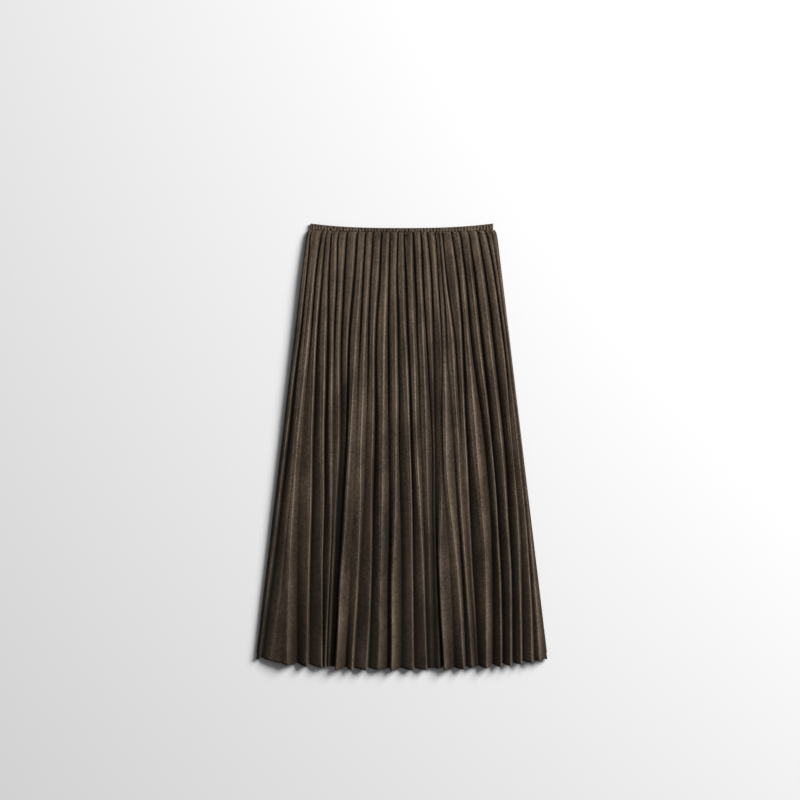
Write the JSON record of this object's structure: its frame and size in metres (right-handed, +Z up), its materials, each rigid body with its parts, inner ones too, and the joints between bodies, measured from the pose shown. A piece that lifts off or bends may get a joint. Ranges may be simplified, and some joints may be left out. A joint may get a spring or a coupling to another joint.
{
  "type": "pleated skirt",
  "caption": "Flat-laid midi skirt in pleated suede cloth: a flared tube of uneven pressed pleats on a narrow gathered elastic waistband.",
  "frame": {"origin": "centre of the bounding box on the surface that the skirt lies on", "axes": "+Y along the length from the hem towards the waist, +Z up out of the front, +X across towards the right in the picture"},
  "size_m": [0.512, 0.7874, 0.0188],
  "materials": {
    "pleated_suede": "matt brushed nap",
    "gathered_casing": "matt brushed nap, gathered"
  },
  "bodies": {
    "root": {"front_panel": "pleated_suede", "back_panel": "pleated_suede", "waistband": "gathered_casing"}
  },
  "joints": []
}
